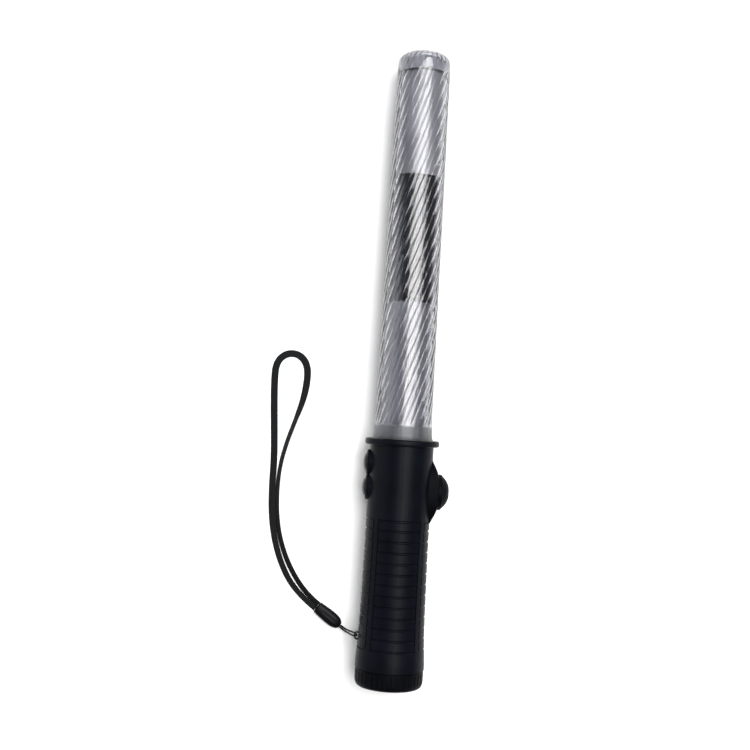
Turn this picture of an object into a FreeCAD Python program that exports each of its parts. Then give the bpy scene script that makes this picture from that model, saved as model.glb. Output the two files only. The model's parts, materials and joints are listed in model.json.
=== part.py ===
"""Traffic baton light lying on its side: a fluted clear wand on a two-shell battery handle.

Millimetres. +Y runs along the baton from the tail face to the tip, +Z is up and the magnet
boss points along +X. The origin is the centre of the tail cap's flat end face. A station is a
distance along the baton from that face.
"""
import FreeCAD, Part
import math
import os

# ---- driving dimensions: stations along the baton ----
TAIL_CAP_LENGTH = 12.15
SHELL_START = 12.3
RIB_FIRST = 26.5
RIB_LAST = 107.0
RIB_COUNT = 12
PANEL_TOP = 113.6
GROOVE_WIDTH = 1.8
GROOVE_FLOOR = 0.6
GROOVE_DEPTH = 0.65
BOSS_STATION = 133.8
BUTTON_STATIONS = {"lower": 134.9, "upper": 152.1}
COLLAR_START = 164.6
WAND_FOOT = 168.9
SMOOTH_COLLAR_END = 178.5
BAND_START, BAND_END = 263.4, 351.4
TIP_BAND_START = 424.5
DOME_BASE = 430.5
OVERALL_LENGTH = 440.0

# ---- driving dimensions: radii ----
COLLAR_RADIUS = 25.6
SHELL_FLARE = [(23.9, SHELL_START), (23.87, 15.0), (23.62, 20.0), (23.26, 25.5), (22.96, 31.0),
               (22.72, 37.0), (22.54, 44.0), (22.4, 51.0), (22.25, 62.0), (22.1, 74.0),
               (21.96, 86.0), (21.9, 98.0)]
SHELL_RADIUS = 21.9
SEAM_DEPTH = 0.3
RAIL_DEPTH, RAIL_HALF_ANGLE = 0.45, 1.2
NECK_RADIUS = 20.8
SHELL_BORE = 19.45
TAIL_CAP_RADIUS = 23.5
CAP_RIM = 1.5
WAND_FOOT_RADIUS = 21.2
WAND_BASE_RADIUS = 19.9
WAND_TIP_RADIUS = 18.5
DIFFUSER_RADIUS = 14.2
CELL_RADIUS = 17.1
CELL_LENGTH = 61.5

# ---- flutes of the wand ----
FLUTE_COUNT = 25
FLUTE_LEAD = 285.0
FLUTE_DEPTH = 0.6

# ---- thread between battery tube and tail cap ----
THREAD_LEAD = 3.0
THREAD_ROOT = 19.2
THREAD_CREST = 20.1
CAP_BORE = 20.75
CAP_THREAD_CREST = 19.6

# ---- handle fittings ----
BUTTON_RADIUS = 7.0
BUTTON_FLANGE = 7.8
BUTTON_TRAVEL = 0.8
BUTTON_TOP = 26.2
PAD_TOP = 23.9
PAD_FOOT_RADIUS, PAD_TOP_RADIUS = 9.9, 8.4
BOSS_RADIUS = 12.3
BOSS_FACE = 33.8
MAGNET_RADIUS = 7.4
SEAT_TOP = 26.0
SEAT_LENGTH, SEAT_WIDTH = 45.6, 22.0
MAGNET_SCREW_SEAT = 20.9

# ---- wrist strap ----
FLOOR = -COLLAR_RADIUS
TAPE_TUBE_RADIUS = 1.6
STRING_RADIUS = 0.6
SLEEVE_LENGTH, SLEEVE_WIDTH, SLEEVE_HEIGHT = 21.2, 9.6, 6.4
SLEEVE_CENTRE = (-43.25, 40.85)
SLEEVE_HEADING = math.radians(143.8)
EYELET_STATION = 32.8

ORIGIN = FreeCAD.Vector(0, 0, 0)
AXIS = FreeCAD.Vector(0, 1, 0)
OUTWARD = FreeCAD.Vector(1, 0, 0)
UP = FreeCAD.Vector(0, 0, 1)
FAR = 60.0

BOARD_FACE = -13.4
BOARD_THICKNESS = 1.6
BOARD_START, BOARD_END = 131.8, 160.0
SHELL_SCREW_STATIONS = (139.0, 150.0)
SHELL_SCREW_LEVEL = -15.0
CELL_START = 6.6
LED_BOARD_START, LED_BOARD_END = 158.5, 423.0
LED_STATIONS = [182 + 14 * k for k in range(6)] + [360 + 14 * k for k in range(5)]

# Control points of the woven tape, in plan: out of the sleeve, round the loop and back.
TAPE_ROUTE = [(-52.9, 45.6), (-60.6, 51.3), (-71.5, 62.5), (-79.2, 76.5), (-84.6, 92.0),
              (-87.8, 109.5), (-88.7, 128.5), (-88.4, 149.0), (-89.5, 168.5), (-90.8, 187.0),
              (-91.7, 204.5), (-91.3, 217.6), (-85.0, 224.6), (-75.6, 224.9), (-69.0, 218.0),
              (-68.2, 206.5), (-70.4, 192.0), (-75.3, 177.0), (-80.3, 161.5), (-83.9, 145.5),
              (-85.0, 127.5), (-84.0, 109.0), (-80.7, 93.0), (-75.1, 78.5), (-67.3, 65.0),
              (-57.5, 53.6), (-50.7, 48.6)]

# Control points of the string: sleeve, up the outside of the eyelet, over it and back down.
STRING_ROUTE = [(-35.2, 33.9, -22.4), (-32.4, 31.9, -22.4), (-30.2, 30.9, -20.4),
                (-29.0, 31.2, -16.5), (-28.3, 31.5, -11.5), (-27.4, 31.9, -6.5),
                (-26.6, 32.4, -2.2), (-26.6, 32.8, 1.7), (-23.6, 32.8, 1.7),
                (-23.6, 33.1, -1.9), (-24.8, 33.4, -5.2), (-27.0, 33.5, -9.3),
                (-28.3, 33.0, -14.3), (-28.9, 32.7, -18.6), (-31.1, 33.0, -22.2),
                (-34.2, 35.2, -22.4)]


def at(x, y, z):
    return FreeCAD.Vector(x, y, z)


# ---- shape helpers ----

def smooth_edge(points, first_tangent=None, last_tangent=None):
    """A smooth curve through points, with optional end directions."""
    curve = Part.BSplineCurve()
    if first_tangent is None:
        curve.interpolate(points)
    else:
        curve.interpolate(points, InitialTangent=first_tangent, FinalTangent=last_tangent)
    return curve.toShape()


def closed_face(edges):
    return Part.Face(Part.Wire(edges))


def straight_edges(points):
    return [Part.makeLine(a, b) for a, b in zip(points, points[1:]) if a.distanceToPoint(b) > 1e-6]


def turned(outline):
    """Solid of revolution about the baton's axis from straight (radius, station) corners."""
    corners = [at(radius, station, 0) for radius, station in outline]
    return closed_face(straight_edges(corners + corners[:1])).revolve(ORIGIN, AXIS, 360)


def ring(outer, inner, start, end):
    return turned([(inner, start), (outer, start), (outer, end), (inner, end)])


def disc(radius, start, end):
    return Part.makeCylinder(radius, end - start, at(0, start, 0), AXIS)


def stud(radius, x_start, x_end, station, level=0.0):
    """Cylinder parallel to X."""
    return Part.makeCylinder(radius, x_end - x_start, at(x_start, station, level), OUTWARD)


def block(x_range, y_range, z_range):
    size = [high - low for low, high in (x_range, y_range, z_range)]
    return Part.makeBox(*size, at(x_range[0], y_range[0], z_range[0]))


def circle_edges(solid, radius, station):
    """Edges of a turned solid that are circles of one radius at one station."""
    return [edge for edge in solid.Edges
            if isinstance(edge.Curve, Part.Circle)
            and abs(edge.Curve.Radius - radius) < 0.01
            and abs(edge.Curve.Center.y - station) < 0.01]


def torus_ring(section_radius, ring_radius, station):
    return Part.makeTorus(ring_radius, section_radius, at(0, station, 0), AXIS)


def about_axis(solid, degrees):
    copy = solid.copy()
    copy.rotate(ORIGIN, AXIS, degrees)
    return copy


def z_axis_to_y_axis(solid):
    solid.rotate(ORIGIN, OUTWARD, -90)
    return solid


def helix_sweep(profile_points, radius, pitch, height):
    """Sweep of a closed profile, given as (radius, height) corners, along a helix about Z."""
    helix = Part.makeHelix(pitch, height, radius)
    corners = [at(r, 0, h) for r, h in profile_points]
    profile = Part.Wire(straight_edges(corners + corners[:1]))
    return Part.Wire(helix).makePipeShell([profile], True, True)


# ---- cords: straight runs joined by tangent arcs ----

def rounded_route(points, name):
    """Wire through the points' runs with the largest arc each corner allows."""
    edges = []
    start = points[0]
    radii = []
    for before, corner, after in zip(points, points[1:], points[2:]):
        into = (corner - before)
        out = (after - corner)
        reach = 0.45 * min(into.Length, out.Length)
        into.normalize()
        out.normalize()
        half_turn = into.getAngle(out) / 2
        radii.append(reach / math.tan(half_turn))
        arc_start = corner - into * reach
        arc_end = corner + out * reach
        bisector = out - into
        bisector.normalize()
        middle = corner + bisector * radii[-1] * (1 / math.cos(half_turn) - 1)
        edges.append(Part.LineSegment(start, arc_start).toShape())
        edges.append(Part.Arc(arc_start, middle, arc_end).toShape())
        start = arc_end
    edges.append(Part.LineSegment(start, points[-1]).toShape())
    print(name, "radii", " ".join("%.1f" % radius for radius in radii))
    return Part.Wire(edges)


def cord(points, radius, name):
    """Round cord along a rounded route; prints its length and how true its volume is."""
    route = rounded_route(points, name)
    heading = points[1] - points[0]
    section = Part.Wire(Part.makeCircle(radius, points[0], heading))
    solid = route.makePipeShell([section], True, False)
    expected = math.pi * radius ** 2 * route.Length
    print(name, "length %.1f volume ratio %.4f" % (route.Length, solid.Volume / expected))
    return solid


# ---- the wand ----

def wand_radius(station):
    share = (station - WAND_FOOT) / (DOME_BASE - WAND_FOOT)
    return WAND_BASE_RADIUS + (WAND_TIP_RADIUS - WAND_BASE_RADIUS) * share


def flute_point(flute, share, station):
    """Point on one convex flute; share runs from 0 to 1 between its two valleys."""
    radius = wand_radius(station) - FLUTE_DEPTH * (2 * share - 1) ** 2
    angle = 2 * math.pi * ((flute + share) / FLUTE_COUNT + station / FLUTE_LEAD)
    return at(radius * math.sin(angle), station, radius * math.cos(angle))


def fluted_rod(start, end):
    """Solid rod with right-hand helical flutes, slightly tapered."""
    stations = [start + (end - start) * step / 8 for step in range(9)]
    faces = []
    rims = {start: [], end: []}
    for flute in range(FLUTE_COUNT):
        patch = Part.BSplineSurface()
        patch.interpolate([[flute_point(flute, share / 3, station) for station in stations]
                           for share in range(4)])
        faces.append(patch.toShape())
        low, high = patch.bounds()[2:]
        rims[start].append(patch.vIso(low).toShape())
        rims[end].append(patch.vIso(high).toShape())
    for rim in rims.values():
        faces.append(closed_face(Part.__sortEdges__(rim)))
    shell = Part.makeShell(faces)
    shell.sewShape()
    rod = Part.Solid(shell)
    if rod.Volume < 0:
        rod.reverse()
    return rod


def domed(base_radius, base_station, top_station):
    """Closed dome on a round base."""
    height = top_station - base_station
    shares = [(1, 0), (0.968, 0.28), (0.855, 0.60), (0.62, 0.85), (0.325, 0.965), (0, 1)]
    points = [at(base_radius * r, base_station + height * h, 0) for r, h in shares]
    crown = smooth_edge(points, at(0, 1, 0), at(-1, 0, 0))
    edges = [crown] + straight_edges([points[-1], at(0, base_station, 0), points[0]])
    return closed_face(edges).revolve(ORIGIN, AXIS, 360)


def make_lens_tube():
    foot_curve = smooth_edge([at(WAND_FOOT_RADIUS, WAND_FOOT, 0), at(20.45, 171.0, 0),
                              at(20.08, 173.4, 0), at(19.98, 175.6, 0),
                              at(19.98, SMOOTH_COLLAR_END, 0)])
    foot = closed_face([foot_curve] + straight_edges(
        [at(19.98, SMOOTH_COLLAR_END, 0), at(0, SMOOTH_COLLAR_END, 0), at(0, WAND_FOOT, 0),
         at(WAND_FOOT_RADIUS, WAND_FOOT, 0)])).revolve(ORIGIN, AXIS, 360)
    root = turned([(0, 161.0), (20.2, 161.0), (20.2, 163.0), (19.25, 163.0), (19.25, 165.4),
                   (18.5, 165.4), (18.5, 166.6), (19.25, 166.6), (19.25, 169.5), (0, 169.5)])
    flutes = fluted_rod(SMOOTH_COLLAR_END - 1.0, TIP_BAND_START + 1.0)
    tip_band = turned([(0, TIP_BAND_START), (18.56, TIP_BAND_START),
                       (WAND_TIP_RADIUS, DOME_BASE), (0, DOME_BASE)])
    dome = domed(WAND_TIP_RADIUS, DOME_BASE, OVERALL_LENGTH)
    bore = turned([(0, 160.0), (17.5, 160.0), (16.3, 428.5), (0, 428.5)])
    bore_dome = domed(16.3, 428.5, OVERALL_LENGTH - 2.0)
    return foot.multiFuse([root, flutes, tip_band, dome]).cut(bore.fuse(bore_dome))


def make_diffuser(start, end):
    return ring(DIFFUSER_RADIUS, DIFFUSER_RADIUS - 0.8, start, end)


def make_band_sleeve():
    return ring(DIFFUSER_RADIUS + 0.9, DIFFUSER_RADIUS + 0.1, BAND_START, BAND_END)


def board_slot(start, end):
    """Clearance for the LED board through a holder."""
    return block((-6.1, 6.1), (start, end), (-0.9, 0.9))


def make_tip_holder():
    plate = disc(16.1, 423.6, TIP_BAND_START)
    hub = ring(DIFFUSER_RADIUS - 0.9, 11.8, 417.5, 423.6)
    bridge = block((-12.5, 12.5), (418.5, 423.6), (-2.2, 2.2))
    return plate.fuse(hub).fuse(bridge).cut(board_slot(410, LED_BOARD_END + 0.1))


def make_foot_holder():
    plug = disc(17.2, 162.0, 170.0)
    hub = ring(DIFFUSER_RADIUS - 0.9, 11.8, 170.0, 177.0)
    return plug.fuse(hub).cut(board_slot(150, 190))


def make_led_board():
    board = block((-6.0, 6.0), (LED_BOARD_START, LED_BOARD_END), (-0.8, 0.8))
    holes = [Part.makeCylinder(1.0, 4, at(0, station, -2)) for station in (166.0, 307.0)]
    return board.cut(Part.makeCompound(holes))


def make_led():
    """One surface-mount lamp: square body with a shallow round well."""
    body = Part.makeBox(5.0, 5.0, 1.6, at(-2.5, -2.5, 0))
    return body.cut(Part.makeCone(1.7, 2.1, 0.5, at(0, 0, 1.1)))


def make_leds():
    lamps = []
    for station in LED_STATIONS:
        above = make_led()
        above.translate(at(0, station, 0.8))
        below = make_led()
        below.rotate(ORIGIN, AXIS, 180)
        below.translate(at(0, station, -0.8))
        lamps += [above, below]
    return Part.makeCompound(lamps)


def make_wand_seal():
    return torus_ring(0.42, 19.0, 166.0)


def make_collar_ring():
    body = turned([(20.9, COLLAR_START), (COLLAR_RADIUS, COLLAR_START),
                   (COLLAR_RADIUS, WAND_FOOT), (19.6, WAND_FOOT), (19.6, 168.4),
                   (20.9, 168.4)])
    edges = circle_edges(body, COLLAR_RADIUS, COLLAR_START)
    edges += circle_edges(body, COLLAR_RADIUS, WAND_FOOT)
    return body.makeFillet(1.3, edges)


# ---- the handle shells ----

def shell_radius(station):
    """Outer radius of the handle body at a station."""
    for (r0, s0), (r1, s1) in zip(SHELL_FLARE, SHELL_FLARE[1:]):
        if s0 <= station <= s1:
            return r0 + (r1 - r0) * (station - s0) / (s1 - s0)
    return SHELL_RADIUS


def shell_body():
    """Outer form of the handle as one solid, before the bore and the split."""
    corners = [at(r, s, 0) for r, s in SHELL_FLARE]
    rest = straight_edges([corners[-1], at(SHELL_RADIUS, COLLAR_START, 0),
                           at(NECK_RADIUS, COLLAR_START, 0), at(NECK_RADIUS, 168.3, 0),
                           at(0, 168.3, 0), at(0, SHELL_START, 0), corners[0]])
    return closed_face([smooth_edge(corners)] + rest).revolve(ORIGIN, AXIS, 360)


def swept_about_axis(corners, centre_angle, half_angle):
    """Closed (radius, station) outline turned through an angle, measured from +Z towards +X."""
    points = [at(radius, station, 0) for radius, station in corners]
    face = closed_face(straight_edges(points + points[:1]))
    face.rotate(ORIGIN, AXIS, centre_angle - half_angle - 90)
    return face.revolve(ORIGIN, AXIS, 2 * half_angle)


def cross_groove(centre_angle, half_angle, station):
    """One grip groove with sloping walls, cut into the handle between two rails."""
    floor = shell_radius(station) - GROOVE_DEPTH
    brim = floor + 2 * GROOVE_DEPTH
    walls = [(floor, station - GROOVE_FLOOR / 2), (brim, station - GROOVE_WIDTH + GROOVE_FLOOR / 2),
             (brim, station + GROOVE_WIDTH - GROOVE_FLOOR / 2), (floor, station + GROOVE_FLOOR / 2)]
    return swept_about_axis(walls, centre_angle, half_angle)


def sunk_profile(start, end, depth):
    """(radius, station) points at one depth under the handle's skin."""
    between = [station for radius, station in SHELL_FLARE if start < station < end]
    return [(shell_radius(station) - depth, station) for station in [start] + between + [end]]


def rail_groove(angle):
    """One lengthwise groove that ends a row of cross grooves."""
    start, end = RIB_FIRST - GROOVE_WIDTH / 2, PANEL_TOP + GROOVE_WIDTH / 2
    floor = sunk_profile(start, end, RAIL_DEPTH)
    return swept_about_axis(floor + [(FAR, end), (FAR, start)], angle, RAIL_HALF_ANGLE)


def grip_cutters():
    """Grooves of the grip: four ladders of cross grooves between pairs of rails."""
    half_panels = {0: 40.0, 90: 38.0, 180: 40.0, 270: 38.0}
    pitch = (RIB_LAST - RIB_FIRST) / (RIB_COUNT - 1)
    stations = [RIB_FIRST + pitch * k for k in range(RIB_COUNT)] + [PANEL_TOP]
    cutters = []
    for centre, half in half_panels.items():
        cutters += [cross_groove(centre, half, station) for station in stations]
        cutters += [rail_groove(centre + side * half) for side in (-1, 1)]
    return cutters


def seam_cutters():
    """Fine parting groove along the top and bottom of the handle."""
    skin = sunk_profile(SHELL_START, COLLAR_START, SEAM_DEPTH)
    core = turned([(0, SHELL_START)] + skin + [(0, COLLAR_START)])
    blade = block((-0.2, 0.2), (SHELL_START, COLLAR_START), (-FAR, FAR))
    return blade.cut(core)


def shell_bore():
    """Everything hollow inside the two shells."""
    return turned([(0, 10), (SHELL_BORE, 10), (SHELL_BORE, 160.7), (20.5, 160.7),
                   (20.5, 163.4), (SHELL_BORE, 163.4), (SHELL_BORE, 170), (0, 170)])


def button_pad():
    """Two round raised pads, one round each button, that run into each other."""
    foot = 17.0
    pads = []
    for station in BUTTON_STATIONS.values():
        pad = Part.makeCone(PAD_FOOT_RADIUS, PAD_TOP_RADIUS, PAD_TOP - foot,
                            at(-foot, station, 0), at(-1, 0, 0))
        top_edges = [edge for edge in pad.Edges if abs(edge.BoundBox.XMax + PAD_TOP) < 0.01]
        pads.append(pad.makeFillet(0.9, top_edges))
    return pads[0].fuse(pads[1])


def make_handle_left():
    outer = shell_body().cut(block((0, FAR), (0, 200), (-FAR, FAR)))
    pad = button_pad()
    body = outer.fuse(pad).cut(shell_bore())
    posts = [stud(2.2, -19.0, BOARD_FACE, 144.0, level) for level in (-6.8, 6.8)]
    bosses = [stud(3.4, -14.5, 0, station, SHELL_SCREW_LEVEL) for station in SHELL_SCREW_STATIONS]
    body = body.multiFuse(posts + bosses)
    cutters = grip_cutters() + [seam_cutters()]
    for station in BUTTON_STATIONS.values():
        cutters.append(stud(BUTTON_RADIUS + 0.3, -FAR, -15, station))
        cutters.append(stud(BUTTON_FLANGE + 0.4, -20.6, -18.2, station))
    for level in (-6.8, 6.8):
        cutters.append(stud(0.9, -19.0, BOARD_FACE, 144.0, level))
    for station in SHELL_SCREW_STATIONS:
        cutters.append(stud(1.25, -10.0, 1, station, SHELL_SCREW_LEVEL))
    for station in eyelet_legs():
        cutters.append(stud(0.72, -24.0, -20.1, station))
    return body.cut(Part.makeCompound(cutters))


def make_handle_right():
    outer = shell_body().cut(block((-FAR, 0), (0, 200), (-FAR, FAR)))
    body = outer.cut(shell_bore())
    bosses = [stud(3.6, 0, 14.5, station, SHELL_SCREW_LEVEL) for station in SHELL_SCREW_STATIONS]
    body = body.multiFuse(bosses)
    cutters = grip_cutters() + [seam_cutters()]
    for station in SHELL_SCREW_STATIONS:
        cutters.append(stud(1.5, -1, 12, station, SHELL_SCREW_LEVEL))
        cutters.append(stud(2.7, 9.5, FAR, station, SHELL_SCREW_LEVEL))
    cutters.append(stud(1.6, 15, FAR, BOSS_STATION))
    cutters.append(stud(3.1, 15, MAGNET_SCREW_SEAT, BOSS_STATION))
    return body.cut(Part.makeCompound(cutters))


# ---- fasteners ----

def pan_screw(head_radius, head_height, shank_radius, length):
    """Pan-head screw along +X: the head starts at x = 0 and the shank points to -X."""
    head = stud(head_radius, 0, head_height, 0)
    rims = [edge for edge in head.Edges if abs(edge.BoundBox.XMin - head_height) < 0.01]
    head = head.makeFillet(head_height * 0.4, rims)
    shank = stud(shank_radius, -length, 0, 0)
    slots = [Part.makeBox(head_height, head_radius * 1.2, 0.5,
                          at(head_height * 0.5, -head_radius * 0.6, -0.25))]
    cross = slots[0].copy()
    cross.rotate(ORIGIN, OUTWARD, 90)
    return head.fuse(shank).cut(slots[0].fuse(cross))


def placed(solid, x, station, level):
    copy = solid.copy()
    copy.translate(at(x, station, level))
    return copy


def make_shell_screws():
    screw = pan_screw(2.4, 1.6, 1.2, 18.0)
    return Part.makeCompound([placed(screw, 9.5, station, SHELL_SCREW_LEVEL)
                              for station in SHELL_SCREW_STATIONS])


def make_board_screws():
    screw = pan_screw(1.7, 1.1, 0.85, 6.5)
    return Part.makeCompound([placed(screw, BOARD_FACE + BOARD_THICKNESS, 144.0, level)
                              for level in (-6.8, 6.8)])


def make_magnet_screw():
    """Screw from inside the handle through the seat into the pole plate."""
    screw = pan_screw(2.7, 1.8, 1.5, 8.2)
    screw.rotate(ORIGIN, UP, 180)
    return placed(screw, MAGNET_SCREW_SEAT, BOSS_STATION, 0)


# ---- magnet boss ----

def turned_about_boss(outline_edges):
    """Solid turned about the boss's axis, which is parallel to X."""
    return closed_face(outline_edges).revolve(at(0, BOSS_STATION, 0), OUTWARD, 360)


def make_magnet_seat():
    """Boat-shaped rubber fairing that lies on the handle and carries the magnet boss."""
    def corner(x, radius):
        return at(x, BOSS_STATION + radius, 0)
    slope = smooth_edge([corner(21.3, 23.2), corner(22.1, 21.0), corner(23.0, 19.3),
                         corner(23.9, 17.7), corner(24.7, 16.0), corner(25.5, 14.4),
                         corner(SEAT_TOP, 12.9)])
    rest = straight_edges([corner(SEAT_TOP, 12.9), corner(SEAT_TOP, 0), corner(15.0, 0),
                           corner(15.0, 23.2), corner(21.3, 23.2)])
    centre = at(15.0, BOSS_STATION, 0)
    oval = Part.Ellipse(centre + at(0, SEAT_LENGTH / 2, 0), centre + at(0, 0, SEAT_WIDTH / 2), centre)
    keel = Part.Face(Part.Wire([oval.toShape()])).extrude(at(FAR, 0, 0))
    seat = turned_about_boss([slope] + rest).common(keel)
    return seat.cut(disc(SHELL_RADIUS + 0.03, 90, 180)).cut(stud(1.6, 15, FAR, BOSS_STATION))


def make_magnet_cover():
    """Rubber cap, rounded down from a small flat face, over the magnet and its pole plate."""
    def corner(x, radius):
        return at(x, BOSS_STATION + radius, 0)
    crown = smooth_edge([corner(BOSS_FACE, 3.5), corner(33.25, 5.8), corner(32.2, 7.8),
                         corner(30.6, 9.9), corner(29.0, 11.5), corner(27.4, BOSS_RADIUS)],
                        at(0, 1, 0), at(-1, 0, 0))
    rest = straight_edges([corner(27.4, BOSS_RADIUS), corner(SEAT_TOP + 0.05, BOSS_RADIUS),
                           corner(SEAT_TOP + 0.05, 0), corner(BOSS_FACE, 0),
                           corner(BOSS_FACE, 3.5)])
    cavity = stud(MAGNET_RADIUS + 0.1, 20, 31.1, BOSS_STATION)
    return turned_about_boss([crown] + rest).cut(cavity)


def make_pole_plate():
    plate = stud(MAGNET_RADIUS, SEAT_TOP + 0.05, 28.2, BOSS_STATION)
    return plate.cut(stud(1.5, 20, 40, BOSS_STATION))


def make_magnet_disc():
    disc_magnet = stud(MAGNET_RADIUS, 28.25, 31.0, BOSS_STATION)
    return disc_magnet.cut(stud(2.2, 20, 40, BOSS_STATION))


# ---- buttons and switch board ----

def make_button(station):
    """Domed push button with a retaining flange and a stem on the inside."""
    skirt = stud(BUTTON_RADIUS, -22.9, -20.4, station)
    rim = at(-22.9, station + BUTTON_RADIUS, 0)
    shoulder = at(-25.3, station + BUTTON_RADIUS * 0.70, 0)
    peak = at(-BUTTON_TOP, station, 0)
    crown = smooth_edge([rim, shoulder, peak], at(-1, -0.15, 0), at(0, -1, 0))
    cap_face = closed_face([crown] + straight_edges([peak, at(-22.9, station, 0), rim]))
    cap = cap_face.revolve(at(0, station, 0), OUTWARD, 360)
    flange = stud(BUTTON_FLANGE, -20.5, -19.3, station)
    stem = stud(2.0, -19.3, -17.9, station)
    return skirt.multiFuse([cap, flange, stem])


def make_plunger(station):
    return stud(1.6, -17.85, -15.6, station)


def make_tact_switches():
    switches = []
    for station in BUTTON_STATIONS.values():
        body = block((-16.9, BOARD_FACE), (station - 3, station + 3), (-3, 3))
        switches.append(body.cut(stud(1.75, -17, -14.6, station)))
    return Part.makeCompound(switches)


def make_switch_board():
    board = block((BOARD_FACE, BOARD_FACE + BOARD_THICKNESS), (BOARD_START, BOARD_END), (-9, 9))
    holes = [stud(1.0, -14, -11, 144.0, level) for level in (-6.8, 6.8)]
    return board.cut(Part.makeCompound(holes))


def make_board_components():
    """Driver chip, capacitor, coil and four resistors on the inner face of the board."""
    face = BOARD_FACE + BOARD_THICKNESS
    chip = block((face, face + 1.5), (135.0, 140.0), (-5.5, -1.5))
    capacitor = stud(3.1, face, face + 8.0, 149.5)
    coil = stud(3.6, face, face + 4.0, 156.0, 5.0)
    resistors = [block((face, face + 0.6), (station, station + 1.6), (2.0, 5.2))
                 for station in (134.0, 136.6, 139.2, 141.8)]
    return Part.makeCompound([chip, capacitor, coil] + resistors)


def make_wires():
    """Four leads: two from the battery contacts to the board, two on to the LED board."""
    routes = [
        [(0.0, 133.25, 0.0), (-0.6, 136.4, 0.6), (-3.4, 138.8, 2.8), (-7.4, 139.8, 5.4),
         (-11.75, 139.6, 7.4)],
        [(0.0, 132.4, -18.05), (-1.0, 134.0, -16.6), (-3.2, 134.1, -13.2), (-6.0, 133.9, -10.2),
         (-9.2, 134.3, -8.6), (-11.75, 134.6, -8.2)],
        [(-11.75, 153.6, -5.2), (-9.6, 154.6, -4.9), (-7.2, 156.3, -3.6), (-5.4, 158.4, -2.1),
         (-4.4, 160.9, -1.4)],
        [(-11.75, 154.0, -1.6), (-9.4, 154.8, -1.4), (-6.9, 155.8, -0.2), (-5.0, 157.2, 1.3),
         (-4.0, 160.2, 1.4)]]
    return Part.makeCompound([cord([at(*point) for point in route], 0.55, "wire")
                              for route in routes])


# ---- battery compartment ----

def thread_ridge(base, crest, start, height):
    """Right-hand helical ridge about the baton's axis, from base radius to crest radius."""
    profile = [(base, -0.62), (crest, -0.3), (crest, 0.3), (base, 0.62)]
    ridge = z_axis_to_y_axis(helix_sweep(profile, abs(base), THREAD_LEAD, height))
    ridge.translate(at(0, start, 0))
    return ridge


def strip_channel(start, end):
    """Channel for the return strip along the underside of the battery tube."""
    return block((-2.7, 2.7), (start, end), (-22, -18.55))


def make_battery_tube():
    tube = ring(THREAD_ROOT, CELL_RADIUS + 0.25, 3.6, 126.5)
    ridge = thread_ridge(THREAD_ROOT - 0.3, THREAD_CREST, 4.5, 4.8)
    return tube.fuse(ridge).cut(strip_channel(0, 130))


def make_battery(start):
    """One D cell with its raised positive end towards the wand."""
    can = disc(CELL_RADIUS, start, start + CELL_LENGTH - 2.0)
    can = can.makeFillet(1.0, circle_edges(can, CELL_RADIUS, start)
                         + circle_edges(can, CELL_RADIUS, start + CELL_LENGTH - 2.0))
    return can.fuse(disc(4.75, start + 1, start + CELL_LENGTH))


def make_contact_carrier():
    plate = disc(18.9, 130.15, 131.6).cut(block((-FAR, -17.2), (100, 150), (-FAR, FAR)))
    return plate.cut(disc(1.55, 120, 140)).cut(block((-3, 3), (120, 140), (-20, -18.4)))


def make_positive_contact():
    return disc(5.0, 129.7, 130.1).fuse(disc(1.5, 130.0, 133.2))


def make_return_strip():
    """Brass strip: a lip across the tube's end, then forward along its channel."""
    run = block((-2.4, 2.4), (3.1, 134.2), (-19.05, -18.65))
    lip = block((-2.4, 2.4), (3.1, 3.5), (-19.05, -15.5))
    return run.fuse(lip)


def make_tail_spring():
    """Conical compression spring between the contact plate and the rear cell."""
    wire_radius = 0.5
    height = CELL_START - 2.8 - 2 * wire_radius - 0.1
    turns = 2.5
    taper = math.degrees(math.atan2(4.5, height))
    helix = Part.makeHelix(height / turns, height, 10.0, -taper)
    start = helix.Edges[0].valueAt(helix.Edges[0].FirstParameter)
    heading = helix.Edges[0].tangentAt(helix.Edges[0].FirstParameter)
    section = Part.Wire(Part.makeCircle(wire_radius, start, heading))
    coil = z_axis_to_y_axis(Part.Wire(helix).makePipeShell([section], True, True))
    coil.translate(at(0, 2.85 + wire_radius, 0))
    return coil


def make_tail_contact():
    return disc(17.3, 2.3, 2.8)


def make_tail_cap():
    body = turned([(0, 0), (21.5, 0), (22.6, 0.9), (23.2, 2.4), (TAIL_CAP_RADIUS, 4.1),
                   (TAIL_CAP_RADIUS, TAIL_CAP_LENGTH - 0.5),
                   (TAIL_CAP_RADIUS - 0.5, TAIL_CAP_LENGTH), (20.95, TAIL_CAP_LENGTH),
                   (20.95, 10.2), (CAP_BORE, 10.0), (CAP_BORE, 2.9), (17.6, 2.9), (17.6, 2.2),
                   (0, 2.2)])
    flute = Part.makeCylinder(0.9, TAIL_CAP_LENGTH - 2.6 - CAP_RIM,
                              at(0, 2.6, TAIL_CAP_RADIUS + 0.5), AXIS)
    flutes = [about_axis(flute, 360 / 40 * k) for k in range(40)]
    body = body.cut(Part.makeCompound(flutes))
    ridge = thread_ridge(CAP_BORE + 0.3, CAP_THREAD_CREST, 4.5 + THREAD_LEAD / 2, 3.6)
    return body.fuse(ridge)


def make_cap_seal():
    return torus_ring(0.62, THREAD_ROOT + 0.66, 11.3)


# ---- wrist strap ----

def eyelet_legs():
    return (EYELET_STATION - 2.3, EYELET_STATION + 2.3)


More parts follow.
